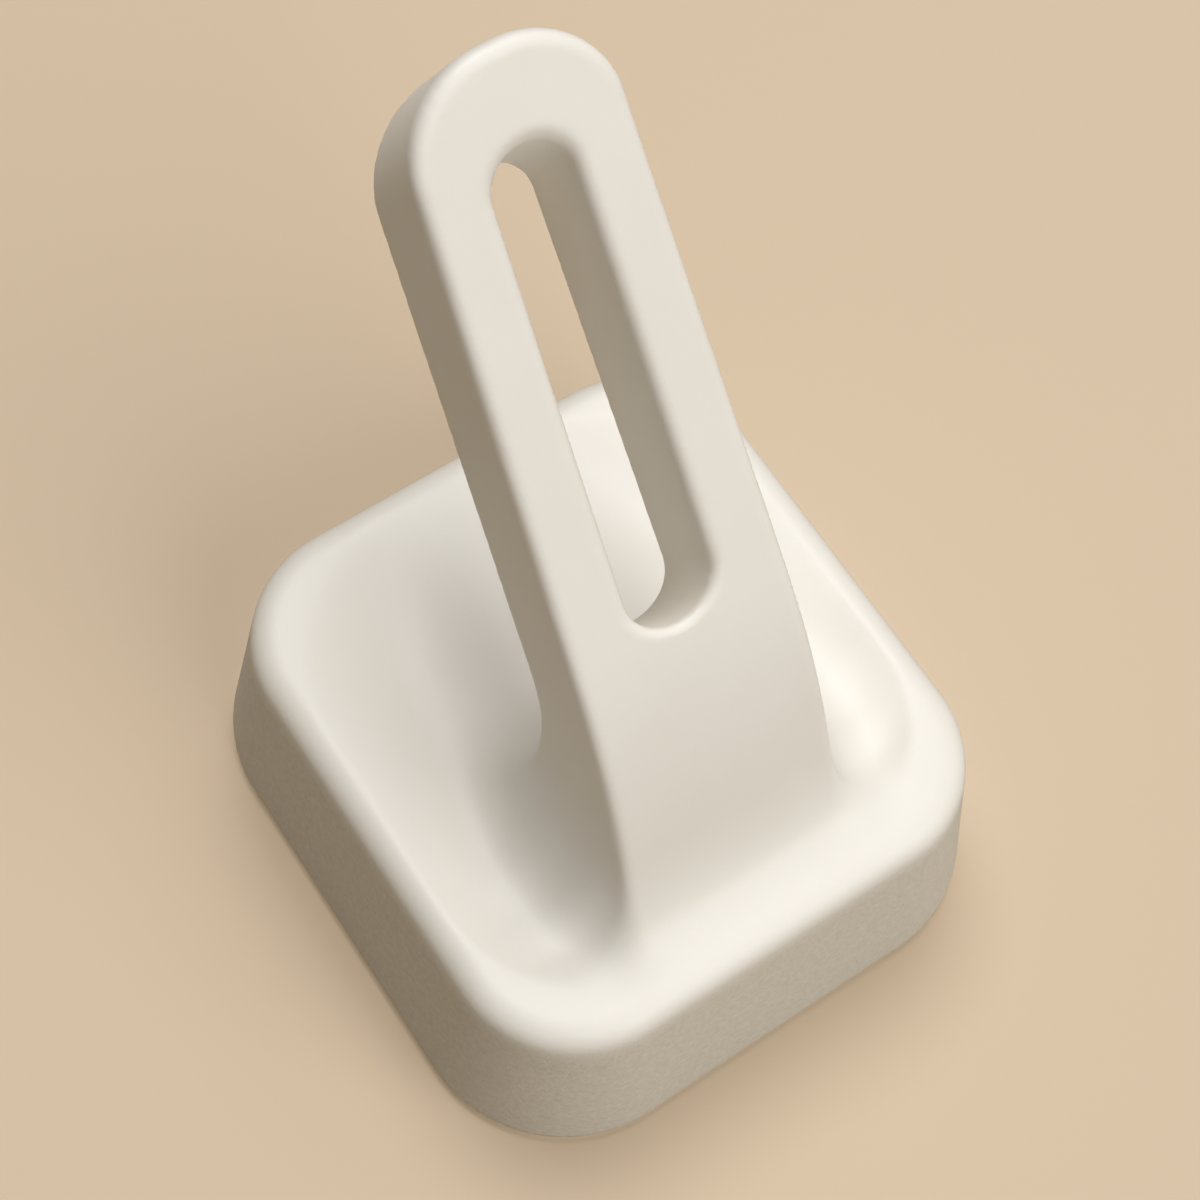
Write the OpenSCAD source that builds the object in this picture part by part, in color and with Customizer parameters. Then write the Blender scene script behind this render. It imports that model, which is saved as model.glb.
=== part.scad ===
// Stick-on wall hook: a drafted block with a dished front, and a slotted arm that leans out of it.
// The wall is the XZ plane at y = 0, the hook stands out of it along -Y, and +Z is up the wall.
// The origin is the centre of the adhesive face that meets the wall.

/* [Block] */
// width of the block where it meets the wall
base_w = 44; // [38:0.5:52]
// height of the block where it meets the wall
base_h = 46.6; // [40:0.5:56]
// depth of the block from its rear edge to its front rim
base_depth = 16.5; // [14:0.5:20]
// corner radius of the block's outline at the wall
corner_r = 11.1; // [9:0.1:14]
// lean of the block's four sides, in degrees
draft = 8.8; // [5:0.1:10]
// radius that rounds the front rim
rim_r = 1.7; // [1:0.1:2.5]
// how far the front is dished below its rim, to each side of the ridge
dish_depth = 2.2; // [1.4:0.1:2.6]
// distance over which the rim falls into the dish beside the root of the arm
dish_run = 7; // [5:0.5:9]
// the same distance further up, where the dish is more gradual
dish_run_high = 12; // [10:0.5:14]
// heights above the middle of the block between which the dish grows more gradual
dish_widen_low = -6; // [-8:0.5:-4]
dish_widen_high = 3; // [1:0.5:5]
// how early the rim falls: 1 is even, and less is steeper next to the rim
dish_edge = 0.7; // [0.6:0.05:1]
// height of the flush strip along the block's lower edge
dish_foot = 5.1; // [4.5:0.1:6]
// distance over which the dish deepens above that strip
dish_foot_run = 5.1; // [4:0.1:7]
// half width of the ridge that runs up the front behind the arm
ridge_half = 4.5; // [3.5:0.1:5.5]
// narrowing of that half width for each millimetre of height above the middle of the block
ridge_taper = 0.22; // [0.1:0.02:0.24]
// distance over which the ridge falls into the dish
ridge_run = 9; // [7:0.5:11]

/* [Arm] */
// angle between the arm and the wall, in degrees
arm_lean = 54.3; // [48:0.1:60]
// length of the arm from the plane of the rim to its tip
arm_len = 56; // [50:0.5:64]
// height above the middle of the block at which the arm's inner face would meet the plane of the rim
arm_foot = -11.5; // [-12.5:0.1:-10.5]
// thickness of the arm
arm_thick = 7.95; // [7:0.05:9]
// width of the arm at the plane of the rim, measured along its straight sides
arm_w_low = 16.65; // [15:0.05:18.5]
// width of the arm at its tip
arm_w_tip = 12.65; // [12:0.05:14]
// corner radius of the tip
tip_r = 5.85; // [4:0.05:5.9]
// angle of the tip's end and of the slot's walls below the wall's normal, in degrees
cut_angle = 28; // [20:0.5:36]
// radius on the edges of the arm's outer face
edge_r = 1.3; // [0.8:0.1:1.8]
// radius on the edges of the arm's inner face
inner_edge_r = 0.4; // [0.3:0.05:0.6]

/* [Root of the arm] */
// height of the arm's inner face at its root, above the middle of the block
neck_z = -2.6; // [-4:0.1:-1]
// how far the root stands straight out, measured from the rim
neck_rise = 8.5; // [7:0.1:10]
// thickness of the root where it begins to bend
neck_thick = 10.05; // [9:0.05:11.5]
// width of the root where it begins to bend
neck_w = 16.4; // [15:0.1:18]
// lean of the root's underside, in degrees
neck_lean = 18.4; // [14:0.1:22]
// length of the bend from the corner of the inner face up the arm
bend_len = 3.75; // [3:0.25:5]
// spread of the root to each side where it runs into the dish
flare_side = 6.5; // [5:0.5:9]
// spread of the root below the arm
flare_below = 4.5; // [3:0.5:5]
// spread of the root above the arm, into the crook of the hook
flare_above = 6; // [4:0.5:7]
// added corner radius of the root's foot at its lower corners
foot_r_low = 4; // [3:0.5:5]
// added corner radius of the root's foot at its upper corners
foot_r_high = 5; // [4:0.5:6]

/* [Slot] */
// width of the slot at its lower end
slot_w_low = 6.02; // [5.4:0.02:6.6]
// width of the slot at its upper end
slot_w_high = 5.2; // [4.8:0.1:5.8]
// centre of the slot's lower end, measured up the arm
slot_low = 20.7; // [19:0.1:24]
// centre of the slot's upper end below the tip of the arm
slot_below_tip = 8.65; // [8:0.05:11]

/* [Rear of the block] */
// thickness of the skin behind the dish
skin = 2.6; // [2:0.1:3]
// lip of the block around the rear plate
lip = 1.6; // [1.2:0.1:2]
// ledge that the rear plate rests on
ledge = 1.2; // [0.8:0.1:1.6]
// thickness of the ribs behind the dish
rib_t = 1.4; // [1:0.1:2]
// distance between the two upright ribs, centre to centre
rib_gap = 13; // [11:0.5:15]
// thickness of the rear plate
plate_t = 2; // [1.6:0.1:2.4]
// gap around the rear plate
plate_gap = 0.1; // [0.05:0.05:0.2]
// diameter of the plate's pegs, pressed into the bores of the block
peg_d = 4; // [3.6:0.1:4.4]
// length of the pegs in front of the plate
peg_len = 6; // [5:0.25:7]
// distance of the pegs from the edges of the block
peg_inset = 10.2; // [9.8:0.1:10.6]
// wall around each peg's bore
boss_wall = 1.5; // [1.2:0.1:1.7]

/* [Adhesive pad] */
// thickness of the foam between the two adhesive layers
foam_t = 0.8; // [0.6:0.05:1.2]
// thickness of each adhesive layer
glue_t = 0.1; // [0.08:0.02:0.16]
// inset of the pad from the outline of the block
pad_inset = 2.2; // [1.9:0.1:3]

/* [Hidden] */
$fn = 48;
corner_steps = 8;
side_steps = 10;
fillet_steps = 4;
dish_steps = 7;
ridge_steps = 5;
root_steps = 10;
bend_steps = 8;
tip_steps = 8;
slot_steps = 10;
ivory = [0.92, 0.905, 0.87];
plate_grey = [0.78, 0.77, 0.75];
foam_white = [0.93, 0.93, 0.92];
glue_clear = [0.88, 0.86, 0.78];
eps = 0.01;
// small depth by which joined shapes reach into each other
bite = 0.8;
// depth by which the root's foot lies below the dish
foot_sink = 0.15;
// half width of the small flat that closes the front on top of the ridge
crown_half = 1;
// least radius of a corner, far inside the block's outline
least_r = 0.9;
// largest share of half a section's width that its corner radius takes
round_share = 0.9;
pad_t = foam_t + 2 * glue_t;
rim_out = pad_t + base_depth;
plate_front = pad_t + plate_t;
ceiling_out = rim_out - dish_depth - skin;
rim_inset = (base_depth - rim_r) * tan(draft);
// thickness of the arm along the direction of its cut ends
cut_len = arm_thick / cos(arm_lean - cut_angle);
slot_high = arm_len - slot_below_tip;
// how far the slot's cut runs on behind the arm, past the bend of its inner face
slot_past = 4;
// distance up the arm to the corner of its inner face, and to the end of the bend
bend_corner = (neck_z - arm_foot) / cos(arm_lean);
bend_start = bend_corner + bend_len;
neck_out = rim_out + neck_rise;
flare_out = rim_out - dish_depth - foot_sink;
flare_h = neck_out - flare_out;
peg_x = base_w / 2 - peg_inset;
peg_z = base_h / 2 - peg_inset;
boss_d = peg_d + 2 * boss_wall;
// chamfer at the end of each peg, and room in front of it
peg_lead = 0.6;
peg_room = 0.5;
bore_depth = peg_len + peg_room;

function mix(a, b, t) = a + (b - a) * t;

function ease(t) = let(c = min(1, max(0, t))) c * c * (3 - 2 * c);

function curve(a, b, c, t) = (1 - t) * (1 - t) * a + 2 * t * (1 - t) * b + t * t * c;

// corner arcs of a rounded rectangle, with points along its sides between them
function outline(half_x, half_z, r) = let(
    arcs = [for (q = [0:3]) [for (i = [0:corner_steps]) let(
        a = q * 90 + i * 90 / corner_steps,
        sx = (q == 0 || q == 3) ? 1 : -1,
        sz = q < 2 ? 1 : -1
    ) [sx * (half_x - r) + r * cos(a), sz * (half_z - r) + r * sin(a)]]]
) [for (q = [0:3]) each concat(
    arcs[q],
    [for (i = [1:side_steps - 1]) mix(arcs[q][corner_steps], arcs[(q + 1) % 4][0], i / side_steps)]
)];

function block_outline(inset) = outline(
    base_w / 2 - inset,
    base_h / 2 - inset,
    max(corner_r - inset, least_r)
);

function at_depth(loop, out) = [for (p = loop) [p[0], -out, p[1]]];

// the dish falls from the rim, rises to the ridge behind the arm, and runs out along the lower rim
function dish(x, z, inset) = let(
    widen = ease((z - dish_widen_low) / (dish_widen_high - dish_widen_low)),
    run = mix(dish_run, dish_run_high, widen),
    ridge = ridge_half - max(0, z) * ridge_taper
) dish_depth * ease(pow(inset / run, dish_edge))
    * ease((z + base_h / 2 - dish_foot) / dish_foot_run)
    * ease((abs(x) - ridge) / ridge_run);

function front_ring(inset) = [for (p = block_outline(rim_inset + rim_r + inset))
    [p[0], dish(p[0], p[1], inset) - rim_out, p[1]]];

// joins rings of equal length into one closed skin, and closes both ends
module skin_over(rings) {
    n = len(rings[0]);
    m = len(rings);
    polyhedron(
        points = [for (r = rings) each r],
        faces = concat(
            [[for (i = [0:n - 1]) i]],
            [for (k = [0:m - 2], i = [0:n - 1]) let(j = (i + 1) % n) each [
                [k * n + i, (k + 1) * n + j, k * n + j],
                [k * n + i, (k + 1) * n + i, (k + 1) * n + j]
            ]],
            [[for (i = [n - 1:-1:0]) (m - 1) * n + i]]
        )
    );
}

// drafted sides, rounded rim and dished front
module block() {
    rim = [for (i = [1:fillet_steps - 1]) let(a = i * 90 / fillet_steps) at_depth(
        block_outline(rim_inset + rim_r * (1 - cos(a))), rim_out - rim_r * (1 - sin(a))
    )];
    last = min(base_w, base_h) / 2 - crown_half;
    floor_run = last - rim_inset - rim_r - dish_run;
    front = [for (i = [0:dish_steps]) front_ring(dish_run * i / dish_steps)];
    middle = [for (i = [1:ridge_steps - 1]) front_ring(dish_run + floor_run * i / ridge_steps)];
    skin_over(concat(
        [at_depth(block_outline(0), pad_t), at_depth(block_outline(rim_inset), rim_out - rim_r)],
        rim,
        front,
        middle,
        [at_depth(block_outline(last), rim_out)]
    ));
}

// points in the upright middle plane, as distance out of the wall and height
function inner_at(s) = [rim_out + s * sin(arm_lean), arm_foot + s * cos(arm_lean)];

function along_cut(k) = k * [cos(cut_angle), -sin(cut_angle)];

function arm_half(s) = mix(arm_w_low, arm_w_tip, s / arm_len) / 2;

// one cross-section of the arm, between a point of its inner face and one of its outer face
function section(inside, outside, half, r_out, r_in) = let(
    run = norm(outside - inside),
    ro = min(r_out, half * round_share),
    ri = min(r_in, half * round_share),
    loop = concat(
        [for (i = [0:fillet_steps]) let(a = i * 90 / fillet_steps)
            [half - ro + ro * cos(a), run - ro + ro * sin(a)]],
        [for (i = [0:fillet_steps]) let(a = 90 + i * 90 / fillet_steps)
            [-half + ro + ro * cos(a), run - ro + ro * sin(a)]],
        [for (i = [0:2]) let(a = 180 + i * 45) [-half + ri + ri * cos(a), ri + ri * sin(a)]],
        [for (i = [0:2]) let(a = 270 + i * 45) [half - ri + ri * cos(a), ri + ri * sin(a)]]
    )
) [for (p = loop) let(q = mix(inside, outside, p[1] / run)) [-p[0], -q[0], q[1]]];

// quarter-round spread of the root, from none at the neck to full at the dish
function spread(h) = 1 - sqrt(1 - (1 - h) * (1 - h));

// section of the root at a share of its height, or sunk below its foot
function root_section(h, sink = 0) = let(
    f = spread(h),
    out = flare_out + h * flare_h - sink,
    low = neck_out - out
) section(
    [out, neck_z + flare_above * f],
    [out, neck_z - neck_thick - low * tan(neck_lean) - flare_below * f],
    neck_w / 2 + flare_side * f,
    edge_r + foot_r_low * f,
    inner_edge_r + foot_r_high * f
);

function bend_section(t) = let(
    inner_bend = inner_at(bend_corner),
    outer_top = inner_at(bend_start) + along_cut(cut_len),
    under = [neck_out, neck_z - neck_thick],
    // where the arm's outer face and the root's underside would meet
    reach = (under[1] - outer_top[1] - (under[0] - outer_top[0]) * tan(neck_lean))
        / (sin(arm_lean) * tan(neck_lean) - cos(arm_lean)),
    outer_bend = outer_top - reach * [sin(arm_lean), cos(arm_lean)]
) section(
    curve(inner_at(bend_start), inner_bend, [neck_out, neck_z], t),
    curve(outer_top, outer_bend, under, t),
    mix(arm_half(bend_start), neck_w / 2, t),
    edge_r,
    inner_edge_r
);

function arm_section(s) = let(
    past = max(0, s - (arm_len - tip_r)),
    over = max(0, s - (arm_len - edge_r)),
    half = arm_half(s) - tip_r + sqrt(max(0, tip_r * tip_r - past * past)),
    drop = edge_r - sqrt(max(0, edge_r * edge_r - over * over))
) section(inner_at(s), inner_at(s) + along_cut(cut_len - drop), half, edge_r, inner_edge_r);

module arm() {
    tip_start = arm_len - tip_r;
    skin_over(concat(
        [root_section(0, bite)],
        [for (i = [0:root_steps - 1]) root_section(pow(i / root_steps, 2))],
        [for (i = [bend_steps:-1:1]) bend_section(i / bend_steps)],
        [arm_section(bend_start)],
        [for (i = [0:tip_steps]) arm_section(tip_start + tip_r * sin(90 * i / tip_steps))]
    ));
}

// long round-ended outline of the slot, grown by a margin
function slot_ring(k, grow) = let(
    r_low = slot_w_low / 2 + grow,
    r_high = slot_w_high / 2 + grow,
    loop = concat(
        [for (i = [0:slot_steps]) let(a = 180 * i / slot_steps)
            [r_high * cos(a), slot_high + r_high * sin(a)]],
        [for (i = [0:slot_steps]) let(a = 180 * i / slot_steps)
            [-r_low * cos(a), slot_low - r_low * sin(a)]]
    )
) [for (p = loop) let(q = inner_at(p[1]) + along_cut(k)) [p[0], -q[0], q[1]]];

module slot() {
    skin_over(concat(
        [slot_ring(-slot_past, 0), slot_ring(cut_len - edge_r, 0)],
        [for (i = [1:fillet_steps]) let(a = i * 90 / fillet_steps)
            slot_ring(cut_len - edge_r + (edge_r - 2 * eps) * sin(a), edge_r * (1 - cos(a)))],
        [slot_ring(cut_len + bite, edge_r)]
    ));
}

// rounded slab parallel to the wall, between two distances out of it
module slab(inset, from_out, to_out) {
    translate([0, -from_out, 0])
        rotate([90, 0, 0])
            linear_extrude(height = to_out - from_out)
                polygon(block_outline(inset));
}

// hollow that keeps the block's walls even, drafted like its sides
module hollow() {
    rise = ceiling_out - plate_front;
    skin_over([
        at_depth(block_outline(lip + ledge), plate_front - bite),
        at_depth(block_outline(lip + ledge + rise * tan(draft)), ceiling_out)
    ]);
}

module at_pegs() {
    for (sx = [-1, 1], sz = [-1, 1])
        translate([sx * peg_x, 0, sz * peg_z])
            rotate([90, 0, 0])
                children();
}

// ribs and bosses inside the hollow, standing on the skin behind the dish
module stiffening() {
    reach = base_h / 2 - lip - ledge;
    rib_h = ceiling_out + bite - plate_front;
    for (sx = [-1, 1])
        translate([sx * rib_gap / 2 - rib_t / 2, -plate_front - rib_h, -reach])
            cube([rib_t, rib_h, 2 * reach]);
    translate([-base_w / 2 + lip + ledge, -plate_front - rib_h, -rib_t / 2])
        cube([base_w - 2 * (lip + ledge), rib_h, rib_t]);
    at_pegs()
        translate([0, 0, plate_front])
            cylinder(d = boss_d, h = rib_h);
}

// block and arm in one skin, at the block's own width, hollow at the rear and with the slot through the arm
module moulding() {
    resize([base_w, 0, 0])
        union() {
            difference() {
                union() {
                    block();
                    arm();
                }
                slab(lip, pad_t - bite, plate_front);
                hollow();
                slot();
            }
            stiffening();
        }
}

// the one moulded piece, with true round bores for the pegs
module hook_body() {
    color(ivory)
        difference() {
            moulding();
            at_pegs()
                translate([0, 0, plate_front - eps])
                    cylinder(d = peg_d, h = bore_depth + eps);
        }
}

// flat plate that closes the block and carries the pad
module back_plate() {
    color(plate_grey)
        union() {
            slab(lip + plate_gap, pad_t, plate_front);
            at_pegs() {
                translate([0, 0, plate_front - eps])
                    cylinder(d = peg_d, h = peg_len - peg_lead + eps);
                translate([0, 0, plate_front + peg_len - peg_lead - eps])
                    cylinder(d1 = peg_d, d2 = peg_d - 2 * peg_lead, h = peg_lead + eps);
            }
        }
}

module pad_front_adhesive() {
    color(glue_clear)
        slab(pad_inset, pad_t - glue_t, pad_t);
}

module pad_foam_core() {
    color(foam_white)
        slab(pad_inset, glue_t, pad_t - glue_t);
}

module pad_wall_adhesive() {
    color(glue_clear)
        slab(pad_inset, 0, glue_t);
}

hook_body();
back_plate();
pad_front_adhesive();
pad_foam_core();
pad_wall_adhesive();
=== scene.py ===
import math

import bmesh
import bpy
from mathutils import Matrix, Vector


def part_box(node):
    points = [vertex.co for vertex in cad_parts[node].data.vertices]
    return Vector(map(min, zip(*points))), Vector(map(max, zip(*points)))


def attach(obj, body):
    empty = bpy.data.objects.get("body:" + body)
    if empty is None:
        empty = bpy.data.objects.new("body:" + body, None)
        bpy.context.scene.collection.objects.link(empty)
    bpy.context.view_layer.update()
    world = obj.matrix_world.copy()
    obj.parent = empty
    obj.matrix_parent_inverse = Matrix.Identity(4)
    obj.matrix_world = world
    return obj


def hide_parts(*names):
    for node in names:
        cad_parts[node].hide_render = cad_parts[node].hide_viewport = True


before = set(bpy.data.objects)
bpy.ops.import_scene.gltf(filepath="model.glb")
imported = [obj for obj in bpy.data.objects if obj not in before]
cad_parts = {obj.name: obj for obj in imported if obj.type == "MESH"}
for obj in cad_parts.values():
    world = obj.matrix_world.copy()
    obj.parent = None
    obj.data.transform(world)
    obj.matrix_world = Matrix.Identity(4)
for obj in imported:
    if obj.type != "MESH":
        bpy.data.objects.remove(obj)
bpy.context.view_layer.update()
mm = 0.001


# colours are written as sRGB hex and turned to the linear values that the shaders want
def linearColor(hexText):
    parts = [int(hexText[i:i + 2], 16) / 255 for i in (1, 3, 5)]
    return [p / 12.92 if p <= 0.04045 else ((p + 0.055) / 1.055) ** 2.4 for p in parts] + [1.0]


# noise scale, in cycles per metre, for features of a size in millimetres
def perSize(sizeMm):
    return 1 / (sizeMm * mm)


# adds one node: settings are its own properties, links are sockets to join or values to set
def addNode(tree, kind, settings=None, links=None):
    node = tree.nodes.new(kind)
    for name, value in (settings or {}).items():
        setattr(node, name, value)
    for name, source in (links or {}).items():
        if isinstance(source, bpy.types.NodeSocket):
            tree.links.new(source, node.inputs[name])
        else:
            node.inputs[name].default_value = source
    return node


# a Mix node's sockets in colour mode: its two colours, and the result
mixA = 6
mixB = 7
mixed = 2


def newMaterial(name):
    material = bpy.data.materials.new(name)
    material.use_nodes = True
    material.node_tree.nodes.clear()
    return material, material.node_tree


# camera: standpoint, aim and roll of the reference picture, which is square
pictureCamera = {
    "place": (-43.65, -175.52, -46.84),
    "forward": (0.2705, 0.9134, 0.3043),
    "up": (0.4891, -0.4026, 0.7737),
    "focalPixels": 2497,
    "imagePixels": 1200,
    "sensorMm": 36,
}


def addCamera(settings):
    data = bpy.data.cameras.new("picture_camera")
    data.sensor_width = settings["sensorMm"]
    data.lens = settings["sensorMm"] * settings["focalPixels"] / settings["imagePixels"]
    data.clip_start = 0.01
    forward = Vector(settings["forward"]).normalized()
    right = forward.cross(Vector(settings["up"])).normalized()
    up = right.cross(forward)
    turn = Matrix((right, up, -forward)).transposed().to_4x4()
    camera = bpy.data.objects.new("picture_camera", data)
    camera.matrix_world = Matrix.Translation(Vector(settings["place"]) * mm) @ turn
    bpy.context.scene.collection.objects.link(camera)
    bpy.context.scene.camera = camera


addCamera(pictureCamera)
print("camera set")


# moulded ABS in ivory: satin and faintly mottled, with the tool's spark-eroded grain on its sides,
# which is drawn coarser than the real one so that it shows; the sides are also coloured darker and warmer
# than the front, partly the grain's own tone and partly painted shade
def ivoryAbs():
    look = {
        "ivory": "#EDEAE4",
        "ivoryDeep": "#E8E4DB",
        "sideGrainAndShade": "#DFD8CC",
        "sideGrainAndShadeDeep": "#C1B9AC",
        "mottleMm": 9,
        "grainMm": 0.42,
        "grainHeightMm": 0.05,
        "smoothGrain": 0.12,
        "roughSmooth": 0.5,
        "roughGrain": 0.62,
    }
    material, tree = newMaterial("moulded_ivory_abs")
    place = addNode(tree, "ShaderNodeTexCoord").outputs["Object"]
    mottle = addNode(tree, "ShaderNodeTexNoise", None, {
        "Vector": place, "Scale": perSize(look["mottleMm"]), "Detail": 3.0, "Roughness": 0.55})
    color = addNode(tree, "ShaderNodeMix", {"data_type": "RGBA"}, {
        "Factor": mottle.outputs["Fac"],
        mixA: linearColor(look["ivory"]),
        mixB: linearColor(look["ivoryDeep"])})
    grain = addNode(tree, "ShaderNodeTexNoise", None, {
        "Vector": place, "Scale": perSize(look["grainMm"]), "Detail": 2.0, "Roughness": 0.6})
    sideGrainAndShade = addNode(tree, "ShaderNodeAttribute", {"attribute_name": "grain"}).outputs["Fac"]
    speckle = addNode(tree, "ShaderNodeMix", {"data_type": "RGBA"}, {
        "Factor": grain.outputs["Fac"],
        mixA: linearColor(look["sideGrainAndShade"]),
        mixB: linearColor(look["sideGrainAndShadeDeep"])})
    # painted shade: the drafted sides take the darker, warmer side colour, partly the grain's own tone
    # and partly the shade that the sides get
    sides = addNode(tree, "ShaderNodeMix", {"data_type": "RGBA"}, {
        "Factor": sideGrainAndShade, mixA: color.outputs[mixed], mixB: speckle.outputs[mixed]})
    strength = addNode(tree, "ShaderNodeMapRange", None, {
        "Value": sideGrainAndShade, "To Min": look["smoothGrain"], "To Max": 1.0})
    rough = addNode(tree, "ShaderNodeMapRange", None, {
        "Value": sideGrainAndShade, "To Min": look["roughSmooth"], "To Max": look["roughGrain"]})
    bump = addNode(tree, "ShaderNodeBump", None, {
        "Height": grain.outputs["Fac"],
        "Strength": strength.outputs["Result"],
        "Distance": look["grainHeightMm"] * mm})
    shader = addNode(tree, "ShaderNodeBsdfPrincipled", None, {
        "Base Color": sides.outputs[mixed],
        "Roughness": rough.outputs["Result"],
        "Normal": bump.outputs["Normal"],
        "IOR": 1.53})
    addNode(tree, "ShaderNodeOutputMaterial", None, {"Surface": shader.outputs["BSDF"]})
    return material


# a number inside a geometry tree: arithmetic on it adds Math nodes
class Field:
    def __init__(self, tree, socket):
        self.tree = tree
        self.socket = socket

    def do(self, operation, *others):
        values = [self.socket]
        values += [other.socket if isinstance(other, Field) else other for other in others]
        node = addNode(self.tree, "ShaderNodeMath", {"operation": operation}, dict(enumerate(values)))
        return Field(self.tree, node.outputs[0])

    def __add__(self, other):
        return self.do("ADD", other)

    def __sub__(self, other):
        return self.do("SUBTRACT", other)

    def __mul__(self, other):
        return self.do("MULTIPLY", other)

    def __truediv__(self, other):
        return self.do("DIVIDE", other)

    def __neg__(self):
        return self.do("MULTIPLY", -1.0)

    def __abs__(self):
        return self.do("ABSOLUTE")

    def least(self, other):
        return self.do("MINIMUM", other)

    def most(self, other):
        return self.do("MAXIMUM", other)

    # 0 below low, 1 above high, and a smooth step between
    def step(self, low, high):
        ends = {"Value": self.socket}
        for name, value in (("From Min", low), ("From Max", high)):
            ends[name] = value.socket if isinstance(value, Field) else value
        node = addNode(self.tree, "ShaderNodeMapRange", {"interpolation_type": "SMOOTHSTEP"}, ends)
        return Field(self.tree, node.outputs["Result"])


def length(a, b):
    return (a * a + b * b).do("SQRT")


def blend(start, end, share):
    return start + (end - start) * share


# union of two solids with a fillet that reaches about the given distance along each
def filletUnion(a, b, reach):
    near = (reach - abs(a - b)).most(0.0) / reach
    return a.least(b) - near * near * reach * 0.25  # a quarter lets it run out flush with both


# overlap of two solids with the edge between them rounded
def roundedOverlap(a, b, radius):
    return a.most(b).least(-radius) + length((a + radius).most(0.0), (b + radius).most(0.0))


# the hook's one moulding: sizes in millimetres, and angles in degrees
hookSizes = {
    "Base Width": 44.0,
    "Base Height": 46.6,
    "Base Depth": 16.5,
    "Corner Radius": 11.1,
    "Side Draft": 8.8,
    "Rim Radius": 1.7,
    "Pad Thickness": 1.0,
    "Dish Depth": 2.2,
    "Dish Run": 7.0,
    "Dish Run High": 12.0,
    "Dish Edge": 0.7,  # a power: below 1 the dish falls steeply from its rim
    "Dish Corner": 5.0,
    "Dish Foot": 5.1,
    "Dish Foot Run": 5.1,
    "Dish Widen Low": -6.0,
    "Dish Widen High": 3.0,
    "Ridge Half": 4.5,
    "Ridge Taper": 0.22,  # loss of half width for each millimetre up
    "Ridge Run": 9.0,
    "Arm Lean": 54.3,
    "Arm Foot": -11.5,
    "Arm Length": 56.0,
    "Arm Thickness": 7.95,
    "Arm Width Low": 16.65,
    "Arm Width Tip": 12.65,
    "Tip Radius": 5.85,
    "Cut Angle": 28.0,
    "Outer Edge Radius": 0.7,
    "Tip Edge Radius": 1.3,
    "Inner Edge Radius": 0.4,
    "Rear Edge Radius": 0.3,
    "Neck Height": -2.6,
    "Neck Out": 26.0,
    "Neck Thickness": 10.05,
    "Neck Lean": 18.4,
    "Inner Bend": 2.2,
    "Outer Bend": 2.6,
    "Crotch Fillet": 7.0,
    "Flank Fillet": 9.0,
    "Under Fillet": 4.7,
    "Flank Start": -4.0,  # from the root's underside
    "Flank End": 2.0,
    "Crotch Start": -5.0,  # from the root's upper face
    "Crotch End": 1.0,
    "Slot Width Low": 6.02,
    "Slot Width High": 5.2,
    "Slot Low": 20.7,
    "Slot High": 47.35,
    "Rear Lip": 1.6,
    "Plate Thickness": 2.0,
    "Peg Diameter": 4.0,
    "Peg Inset": 10.2,
    "Bore Depth": 6.5,
    "Grain Start": -1.6,  # from the drafted sides
    "Grain End": -0.1,
    "Grain Fade": 3.4,  # below the rim
}
# size of one cell of the grid that the moulding is meshed on, and room around it
hookGrid = {"cellMm": 0.36, "marginMm": 1.5}


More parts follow.
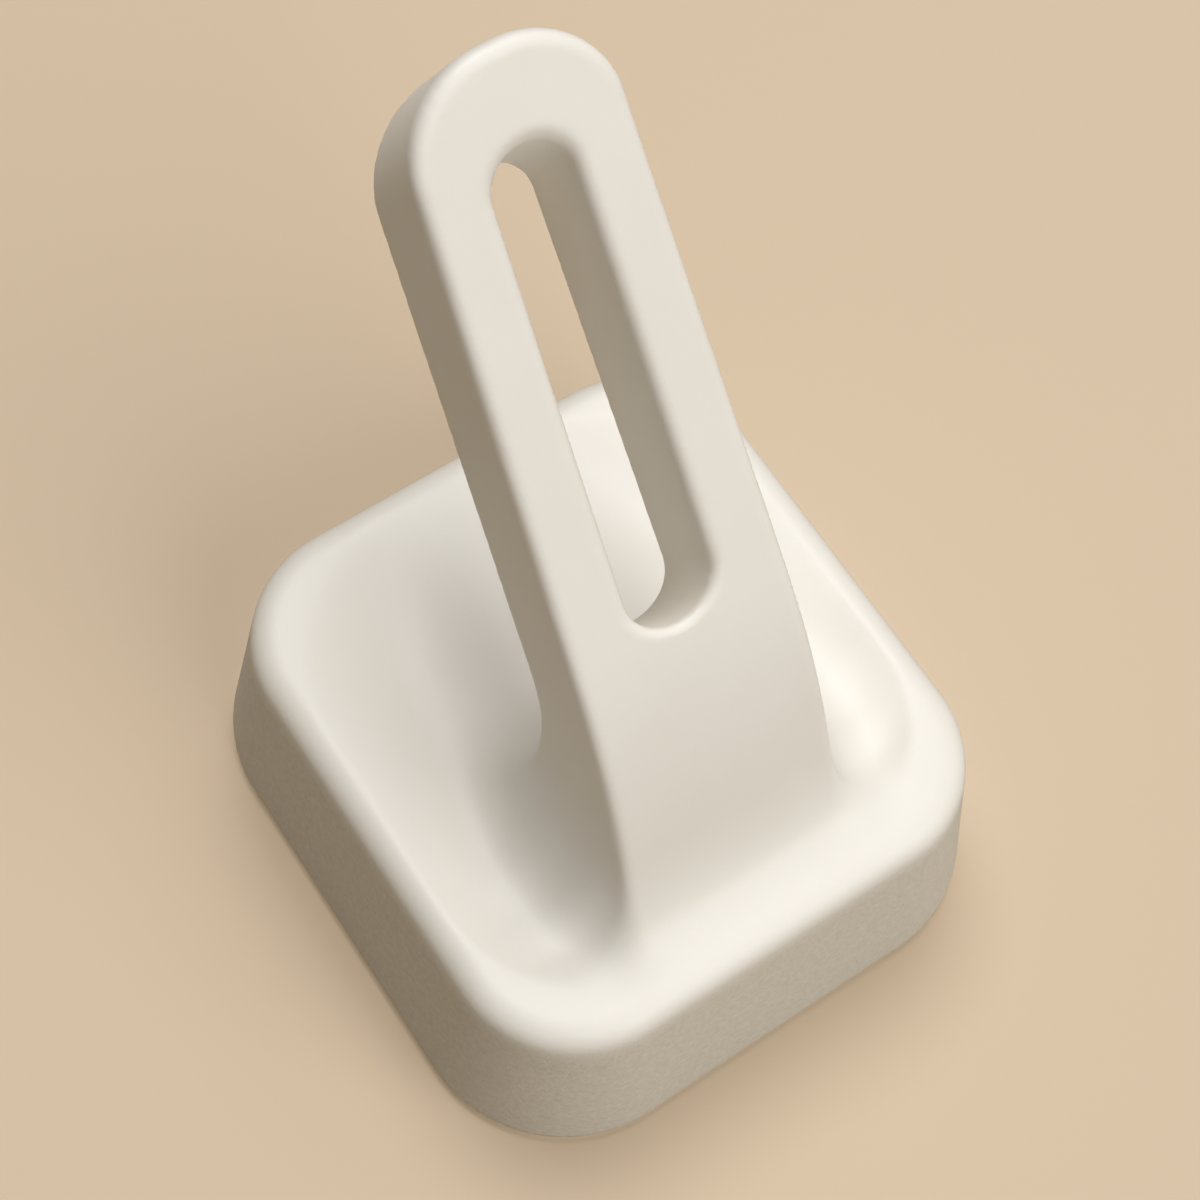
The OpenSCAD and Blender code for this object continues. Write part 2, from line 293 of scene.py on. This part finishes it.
# node group that gives the distance, in millimetres, from any point to the moulding's skin
def hookShapeGroup(sizes):
    tree = bpy.data.node_groups.new("hook_moulding_distance", "GeometryNodeTree")
    tree.interface.new_socket("Position", in_out="INPUT", socket_type="NodeSocketVector")
    for name in sizes:
        tree.interface.new_socket(name, in_out="INPUT", socket_type="NodeSocketFloat")
    tree.interface.new_socket("Distance", in_out="OUTPUT", socket_type="NodeSocketFloat")
    tree.interface.new_socket("Grain", in_out="OUTPUT", socket_type="NodeSocketFloat")
    given = addNode(tree, "NodeGroupInput").outputs
    size = {name: Field(tree, given[name]) for name in sizes}
    angleNames = ("Side Draft", "Arm Lean", "Cut Angle", "Neck Lean")
    angle = {name: size[name].do("RADIANS") for name in angleNames}
    place = addNode(tree, "ShaderNodeSeparateXYZ", None, {"Vector": given["Position"]}).outputs
    x = abs(Field(tree, place["X"]) / mm)
    out = Field(tree, place["Y"]) / -mm
    z = Field(tree, place["Z"]) / mm

    # block: rounded outline, drafted sides, dished front and round rim
    rimOut = size["Pad Thickness"] + size["Base Depth"]
    cornerX = x - size["Base Width"] * 0.5 + size["Corner Radius"]
    cornerZ = abs(z) - size["Base Height"] * 0.5 + size["Corner Radius"]
    outline = length(cornerX.most(0.0), cornerZ.most(0.0)) + cornerX.most(cornerZ).least(0.0)
    outline = outline - size["Corner Radius"]
    draft = angle["Side Draft"]
    side = (outline + (out - size["Pad Thickness"]) * draft.do("TANGENT")) * draft.do("COSINE")
    rimInset = (size["Base Depth"] - size["Rim Radius"]) * draft.do("TANGENT") + size["Rim Radius"]
    cornerIn = size["Corner Radius"] + size["Dish Corner"] - rimInset
    nearX = (cornerX + size["Dish Corner"]).most(0.0)
    nearZ = (cornerZ + size["Dish Corner"]).most(0.0)
    inside = cornerIn - length(nearX, nearZ)
    low = z + size["Base Height"] * 0.5 - size["Dish Foot"]
    widen = z.step(size["Dish Widen Low"], size["Dish Widen High"])
    run = blend(size["Dish Run"], size["Dish Run High"], widen)
    fall = (inside.most(0.0) / run).do("POWER", size["Dish Edge"])
    beside = x - size["Ridge Half"] + z.most(0.0) * size["Ridge Taper"]
    dish = fall.step(0.0, 1.0) * low.step(0.0, size["Dish Foot Run"])
    dish = dish * beside.step(0.0, size["Ridge Run"]) * size["Dish Depth"]
    front = out - rimOut + dish

    # arm: a tapered strap, measured up its length, along the slant of its cut ends, and across
    lean = angle["Arm Lean"]
    cut = angle["Cut Angle"]
    awayOut = out - rimOut
    awayUp = z - size["Arm Foot"]
    up = (awayOut * cut.do("SINE") + awayUp * cut.do("COSINE")) / (lean - cut).do("COSINE")
    deep = awayOut * lean.do("COSINE") - awayUp * lean.do("SINE")
    half = blend(size["Arm Width Low"], size["Arm Width Tip"], up / size["Arm Length"]) * 0.5
    tipX = x - half + size["Tip Radius"]
    tipUp = up - size["Arm Length"] + size["Tip Radius"]
    strap = length(tipX.most(0.0), tipUp.most(0.0)) + tipX.most(tipUp).least(0.0) - size["Tip Radius"]
    slotUp = up.most(size["Slot Low"]).least(size["Slot High"])
    slotShare = (slotUp - size["Slot Low"]) / (size["Slot High"] - size["Slot Low"])
    slotHalf = blend(size["Slot Width Low"], size["Slot Width High"], slotShare) * 0.5
    strap = strap.most(slotHalf - length(x, up - slotUp))

    # the strap bends into a root that stands straight out of the block
    under = size["Neck Height"] - size["Neck Thickness"]
    underLean = angle["Neck Lean"]
    underGap = (under - (size["Neck Out"] - out) * underLean.do("TANGENT") - z) * underLean.do("COSINE")
    inner = filletUnion(z - size["Neck Height"], -deep, size["Inner Bend"])
    outer = -filletUnion(size["Arm Thickness"] - deep, -underGap, size["Outer Bend"])
    atTip = tipUp.step(0.0, size["Tip Radius"])
    edge = blend(size["Outer Edge Radius"], size["Tip Edge Radius"], atTip)
    arm = roundedOverlap(strap, outer, edge)
    arm = roundedOverlap(arm, inner, size["Inner Edge Radius"])

    # fillet where the root meets the dish: small below, broad at the flanks, middling in the crook
    flank = z.step(under + size["Flank Start"], under + size["Flank End"])
    crotch = z.step(size["Neck Height"] + size["Crotch Start"], size["Neck Height"] + size["Crotch End"])
    reach = blend(size["Under Fillet"], size["Flank Fillet"], flank)
    reach = blend(reach, size["Crotch Fillet"], crotch)
    block = roundedOverlap(side, filletUnion(front, arm, reach), size["Rim Radius"])
    rear = size["Pad Thickness"] - out
    skin = roundedOverlap(block.least(arm.most(rimOut - out)), rear, size["Rear Edge Radius"])

    # rebate for the rear plate, and the bores of its four pegs
    plateFront = size["Pad Thickness"] + size["Plate Thickness"]
    rebate = (outline + size["Rear Lip"]).most(out - plateFront)
    pegX = x - size["Base Width"] * 0.5 + size["Peg Inset"]
    pegZ = abs(z) - size["Base Height"] * 0.5 + size["Peg Inset"]
    bore = (length(pegX, pegZ) - size["Peg Diameter"] * 0.5).most(out - plateFront - size["Bore Depth"])
    skin = skin.most(-rebate).most(-bore)

    # the grain, and the sides' darker painted shade with it, is on the drafted sides alone, and fades out
    # below the rim
    onSide = side.step(size["Grain Start"], size["Grain End"])
    grain = onSide * (rimOut - out).step(0.0, size["Grain Fade"])
    addNode(tree, "NodeGroupOutput", None, {"Distance": skin.socket, "Grain": grain.socket})
    return tree


# tree that meshes the skin on a grid, evens the mesh out and draws it back onto the exact skin
def hookMouldingTree(sizes, material):
    shape = hookShapeGroup(sizes)
    tree = bpy.data.node_groups.new("hook_moulding", "GeometryNodeTree")
    for name in ("Box Low", "Box High"):
        tree.interface.new_socket(name, in_out="INPUT", socket_type="NodeSocketVector")
    for name in ("Cells X", "Cells Y", "Cells Z"):
        tree.interface.new_socket(name, in_out="INPUT", socket_type="NodeSocketInt")
    for name in sizes:
        tree.interface.new_socket(name, in_out="INPUT", socket_type="NodeSocketFloat")
    tree.interface.new_socket("Geometry", in_out="OUTPUT", socket_type="NodeSocketGeometry")
    given = addNode(tree, "NodeGroupInput").outputs
    place = addNode(tree, "GeometryNodeInputPosition").outputs["Position"]
    normal = addNode(tree, "GeometryNodeInputNormal").outputs["Normal"]
    sizeLinks = {name: given[name] for name in sizes}
    field = addNode(tree, "GeometryNodeGroup", {"node_tree": shape}, {"Position": place, **sizeLinks})
    solid = Field(tree, field.outputs["Distance"]) * -1.0
    volume = addNode(tree, "GeometryNodeVolumeCube", None, {
        "Density": solid.socket, "Background": -1.0,
        "Min": given["Box Low"], "Max": given["Box High"],
        "Resolution X": given["Cells X"],
        "Resolution Y": given["Cells Y"],
        "Resolution Z": given["Cells Z"]})
    mesh = addNode(tree, "GeometryNodeVolumeToMesh", None, {
        "Volume": volume.outputs["Volume"], "Threshold": 0.0, "Adaptivity": 0.0}).outputs["Mesh"]
    onSkin = addNode(tree, "ShaderNodeVectorMath", {"operation": "SCALE"}, {
        0: normal, "Scale": (solid * mm).socket}).outputs["Vector"]
    even = addNode(tree, "GeometryNodeBlurAttribute", {"data_type": "FLOAT_VECTOR"}, {
        "Value": place, "Iterations": 2}).outputs["Value"]
    for stage in ("draw", "even", "draw", "even", "draw", "draw"):
        links = {"Offset": onSkin} if stage == "draw" else {"Position": even}
        links["Geometry"] = mesh
        mesh = addNode(tree, "GeometryNodeSetPosition", None, links).outputs["Geometry"]
    # the grain mask also tells the material where the sides' painted shade goes
    mesh = addNode(tree, "GeometryNodeStoreNamedAttribute", {"data_type": "FLOAT", "domain": "POINT"}, {
        "Geometry": mesh, "Name": "grain", "Value": field.outputs["Grain"]}).outputs["Geometry"]
    mesh = addNode(tree, "GeometryNodeSetShadeSmooth", None, {"Geometry": mesh}).outputs["Geometry"]
    mesh = addNode(tree, "GeometryNodeRealizeInstances", None, {"Geometry": mesh}).outputs["Geometry"]
    mesh = addNode(tree, "GeometryNodeSetMaterial", None, {
        "Geometry": mesh, "Material": material}).outputs["Geometry"]
    addNode(tree, "NodeGroupOutput", None, {"Geometry": mesh})
    return tree


def addHookMoulding():
    piece = bpy.data.objects.new("hook_moulding", bpy.data.meshes.new("hook_moulding"))
    bpy.context.scene.collection.objects.link(piece)
    low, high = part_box("hook_body")
    room = Vector((1, 1, 1)) * hookGrid["marginMm"] * mm
    cells = [int((high[i] - low[i] + 2 * room[i]) / (hookGrid["cellMm"] * mm)) for i in range(3)]
    values = dict(hookSizes)
    values.update({"Box Low": low - room, "Box High": high + room})
    values.update(dict(zip(("Cells X", "Cells Y", "Cells Z"), cells)))
    modifier = piece.modifiers.new("hook_moulding", "NODES")
    modifier.node_group = hookMouldingTree(hookSizes, ivoryAbs())
    for item in modifier.node_group.interface.items_tree:
        if item.in_out == "INPUT":
            modifier[item.identifier] = values[item.name]
    ready = piece.evaluated_get(bpy.context.evaluated_depsgraph_get())
    piece.data = bpy.data.meshes.new_from_object(ready)
    piece.modifiers.clear()
    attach(piece, "root")
    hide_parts("hook_body")
    print("hook moulding:", len(piece.data.vertices), "points", len(piece.data.polygons), "faces")


addHookMoulding()


# points round the block's outline, drawn in by an inset, at a distance out of the wall
def outlineLoop(inset, outMm, steps=16):
    halfX = hookSizes["Base Width"] / 2 - inset
    halfZ = hookSizes["Base Height"] / 2 - inset
    radius = hookSizes["Corner Radius"] - inset
    points = []
    for quarter, (signX, signZ) in enumerate(((1, 1), (-1, 1), (-1, -1), (1, -1))):
        for i in range(steps + 1):
            turn = (quarter + i / steps) * math.pi / 2
            px = signX * (halfX - radius) + radius * math.cos(turn)
            pz = signZ * (halfZ - radius) + radius * math.sin(turn)
            points.append(Vector((px, -outMm, pz)) * mm)
    return points


# closed solid through such loops: profile is a row of pairs of inset and distance out
def addLayer(name, profile, material, node):
    work = bmesh.new()
    loops = [[work.verts.new(p) for p in outlineLoop(inset, outMm)] for inset, outMm in profile]
    for lower, upper in zip(loops, loops[1:]):
        for i in range(len(lower)):
            j = (i + 1) % len(lower)
            work.faces.new((lower[i], lower[j], upper[j], upper[i]))
    work.faces.new(loops[0])
    work.faces.new(loops[-1])
    bmesh.ops.recalc_face_normals(work, faces=work.faces)
    mesh = bpy.data.meshes.new(name)
    work.to_mesh(mesh)
    work.free()
    mesh.materials.append(material)
    piece = bpy.data.objects.new(name, mesh)
    bpy.context.scene.collection.objects.link(piece)
    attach(piece, "root")
    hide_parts(node)
    return piece


# closed-cell polyethylene foam: chalky, with cells just large enough to show
def cellFoam():
    look = {"foam": "#EEEDEA", "shade": "#DAD8D2", "cellMm": 0.35, "heightMm": 0.05}
    material, tree = newMaterial("closed_cell_foam")
    place = addNode(tree, "ShaderNodeTexCoord").outputs["Object"]
    cells = addNode(tree, "ShaderNodeTexVoronoi", None, {
        "Vector": place, "Scale": perSize(look["cellMm"])})
    # painted shade: the colour darkens toward the cells' sunken edges, where the bump puts the pits
    color = addNode(tree, "ShaderNodeMix", {"data_type": "RGBA"}, {
        "Factor": cells.outputs["Distance"],
        mixA: linearColor(look["foam"]),
        mixB: linearColor(look["shade"])})
    bump = addNode(tree, "ShaderNodeBump", {"invert": True}, {
        "Height": cells.outputs["Distance"], "Strength": 0.6, "Distance": look["heightMm"] * mm})
    shader = addNode(tree, "ShaderNodeBsdfPrincipled", None, {
        "Base Color": color.outputs[mixed],
        "Roughness": 0.9,
        "IOR": 1.45,
        "Normal": bump.outputs["Normal"]})
    addNode(tree, "ShaderNodeOutputMaterial", None, {"Surface": shader.outputs["BSDF"]})
    return material


# acrylic adhesive: a glossy, slightly yellow coat with soft coating streaks
def acrylicAdhesive():
    look = {
        "coat": "#E4DDCB",
        "streak": "#D9D0B9",
        "streakMm": 2.2,
        "streakStretch": 0.15,
        "heightMm": 0.02,
        "roughLow": 0.18,
        "roughHigh": 0.34,
    }
    material, tree = newMaterial("acrylic_adhesive")
    place = addNode(tree, "ShaderNodeTexCoord").outputs["Object"]
    drawn = addNode(tree, "ShaderNodeMapping", None, {
        "Vector": place, "Scale": (1.0, 1.0, look["streakStretch"])})
    streaks = addNode(tree, "ShaderNodeTexNoise", None, {
        "Vector": drawn.outputs["Vector"], "Scale": perSize(look["streakMm"]), "Detail": 3.0})
    color = addNode(tree, "ShaderNodeMix", {"data_type": "RGBA"}, {
        "Factor": streaks.outputs["Fac"],
        mixA: linearColor(look["coat"]),
        mixB: linearColor(look["streak"])})
    rough = addNode(tree, "ShaderNodeMapRange", None, {
        "Value": streaks.outputs["Fac"], "To Min": look["roughLow"], "To Max": look["roughHigh"]})
    bump = addNode(tree, "ShaderNodeBump", None, {
        "Height": streaks.outputs["Fac"], "Strength": 0.4, "Distance": look["heightMm"] * mm})
    shader = addNode(tree, "ShaderNodeBsdfPrincipled", None, {
        "Base Color": color.outputs[mixed],
        "Roughness": rough.outputs["Result"],
        "IOR": 1.47,
        "Normal": bump.outputs["Normal"]})
    addNode(tree, "ShaderNodeOutputMaterial", None, {"Surface": shader.outputs["BSDF"]})
    return material


# the foam tape, in millimetres: squeezed foam swells a little between its two adhesive coats
padSizes = {"inset": 2.2, "glue": 0.1, "foam": 0.8, "swell": 0.12, "swellSteps": 6, "edge": 0.03}


def addPad(settings):
    inset = settings["inset"]
    glue = settings["glue"]
    edge = settings["edge"]
    foamTop = glue + settings["foam"]
    coat = acrylicAdhesive()
    films = (
        ("wall_adhesive", 0.0, "pad_wall_adhesive"),
        ("plate_adhesive", foamTop, "pad_front_adhesive"),
    )
    for name, start, node in films:
        end = start + glue
        profile = [(inset + edge, start), (inset, start + edge), (inset, end - edge), (inset + edge, end)]
        addLayer(name, profile, coat, node)
    profile = [(inset, glue)]
    for i in range(1, settings["swellSteps"]):
        share = i / settings["swellSteps"]
        swell = settings["swell"] * math.sin(math.pi * share)
        profile.append((inset - swell, glue + settings["foam"] * share))
    profile.append((inset, foamTop))
    foam = addLayer("foam_core", profile, cellFoam(), "pad_foam_core")


addPad(padSizes)
print("foam tape set")


# plain moulded ABS of the rear plate: matte, with faint flow lines and a grain just coarse enough to show
def plateAbs():
    look = {"pale": "#DCDAD6", "deep": "#D2D0CB", "flowMm": 6, "grainMm": 0.5, "heightMm": 0.02}
    material, tree = newMaterial("moulded_plate_abs")
    place = addNode(tree, "ShaderNodeTexCoord").outputs["Object"]
    flow = addNode(tree, "ShaderNodeTexNoise", None, {
        "Vector": place, "Scale": perSize(look["flowMm"]), "Detail": 2.0, "Distortion": 1.5})
    color = addNode(tree, "ShaderNodeMix", {"data_type": "RGBA"}, {
        "Factor": flow.outputs["Fac"],
        mixA: linearColor(look["pale"]),
        mixB: linearColor(look["deep"])})
    grain = addNode(tree, "ShaderNodeTexNoise", None, {
        "Vector": place, "Scale": perSize(look["grainMm"])})
    bump = addNode(tree, "ShaderNodeBump", None, {
        "Height": grain.outputs["Fac"], "Strength": 0.5, "Distance": look["heightMm"] * mm})
    shader = addNode(tree, "ShaderNodeBsdfPrincipled", None, {
        "Base Color": color.outputs[mixed],
        "Roughness": 0.5,
        "IOR": 1.53,
        "Normal": bump.outputs["Normal"]})
    addNode(tree, "ShaderNodeOutputMaterial", None, {"Surface": shader.outputs["BSDF"]})
    return material


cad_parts["back_plate"].data.materials.clear()
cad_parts["back_plate"].data.materials.append(plateAbs())
print("rear plate finished")


# stage: one plain pale wall that the hook is stuck to, seen through from behind
stageLook = {
    "wall": "#D4C1A8",
    "wallGlow": "#BBAD98",
    "air": "#EFE9E0",
    "airGlow": "#E5D5BB",
    "wallHalf": 1.5,  # metres
    "wallBehindMm": 0.05,
    "airLight": 0.16,
}


def addWall(settings):
    material, tree = newMaterial("plain_wall")
    seen = addNode(tree, "ShaderNodeLightPath").outputs["Is Camera Ray"]
    color = addNode(tree, "ShaderNodeMix", {"data_type": "RGBA"}, {
        "Factor": seen,
        mixA: linearColor(settings["wallGlow"]),
        mixB: linearColor(settings["wall"])})
    paint = addNode(tree, "ShaderNodeBsdfDiffuse", None, {"Color": color.outputs[mixed]})
    clear = addNode(tree, "ShaderNodeBsdfTransparent")
    behind = addNode(tree, "ShaderNodeNewGeometry").outputs["Backfacing"]
    surface = addNode(tree, "ShaderNodeMixShader", None, {
        "Fac": behind, 1: paint.outputs["BSDF"], 2: clear.outputs["BSDF"]})
    addNode(tree, "ShaderNodeOutputMaterial", None, {"Surface": surface.outputs["Shader"]})
    half = settings["wallHalf"]
    behindHook = settings["wallBehindMm"] * mm
    mesh = bpy.data.meshes.new("stage_wall")
    square = ((-half, -half), (half, -half), (half, half), (-half, half))
    mesh.from_pydata([(px, behindHook, pz) for px, pz in square], [], [(0, 1, 2, 3)])
    mesh.materials.append(material)
    wall = bpy.data.objects.new("stage_wall", mesh)
    bpy.context.scene.collection.objects.link(wall)
    wall.visible_shadow = False  # the rear lamp shines through


def addAir(settings):
    world = bpy.data.worlds.new("studio_air")
    world.use_nodes = True
    tree = world.node_tree
    tree.nodes.clear()
    rays = addNode(tree, "ShaderNodeLightPath").outputs
    seen = addNode(tree, "ShaderNodeMath", {"operation": "MAXIMUM"}, {
        0: rays["Is Camera Ray"], 1: rays["Is Transmission Ray"]})
    strength = addNode(tree, "ShaderNodeMapRange", None, {
        "Value": seen.outputs["Value"], "To Min": settings["airLight"], "To Max": 1.0})
    color = addNode(tree, "ShaderNodeMix", {"data_type": "RGBA"}, {
        "Factor": seen.outputs["Value"],
        mixA: linearColor(settings["airGlow"]),
        mixB: linearColor(settings["air"])})
    light = addNode(tree, "ShaderNodeBackground", None, {
        "Color": color.outputs[mixed], "Strength": strength.outputs["Result"]})
    addNode(tree, "ShaderNodeOutputWorld", None, {"Surface": light.outputs["Background"]})
    world.cycles.sampling_method = "NONE"  # even air has no bright spot to look for
    bpy.context.scene.world = world


# lamps: where each shines from (right, out of the wall, up), distance and size in metres, and power
studioLamps = {
    "front": {"from": (0.13, 0.95, 0.28), "distance": 0.8, "size": 0.55, "watts": 4.65},
    "under": {"from": (0.20, 0.60, -0.77), "distance": 0.8, "size": 0.8, "watts": 4.0},
}
# lamp behind the wall, no wider than the pad, so that the rear is lit and nothing reaches the front
rearLamp = {"distance": 0.08, "width": 0.036, "height": 0.039, "watts": 0.026, "spread": 140}
# the point inside the hook that all the lamps are turned to
lampAim = (0.0, -0.02, 0.0)


def addLamp(name, place, aim, size, watts):
    data = bpy.data.lights.new(name, "AREA")
    data.shape = "DISK"
    data.size = size
    data.energy = watts
    lamp = bpy.data.objects.new(name, data)
    lamp.location = place
    lamp.rotation_euler = (aim - place).to_track_quat("-Z", "Y").to_euler()
    bpy.context.scene.collection.objects.link(lamp)
    return lamp


def addLights():
    middle = Vector(lampAim)
    for name, lamp in studioLamps.items():
        right, outward, upward = lamp["from"]
        place = middle + Vector((right, -outward, upward)).normalized() * lamp["distance"]
        addLamp(name, place, middle, lamp["size"], lamp["watts"])
    place = Vector((0, rearLamp["distance"], 0))
    rear = addLamp("rear", place, middle, rearLamp["width"], rearLamp["watts"])
    rear.data.shape = "ELLIPSE"
    rear.data.size_y = rearLamp["height"]
    rear.data.spread = math.radians(rearLamp["spread"])


addWall(stageLook)
addAir(stageLook)
addLights()
bpy.context.scene.view_settings.view_transform = "Standard"
print("stage and lights set")
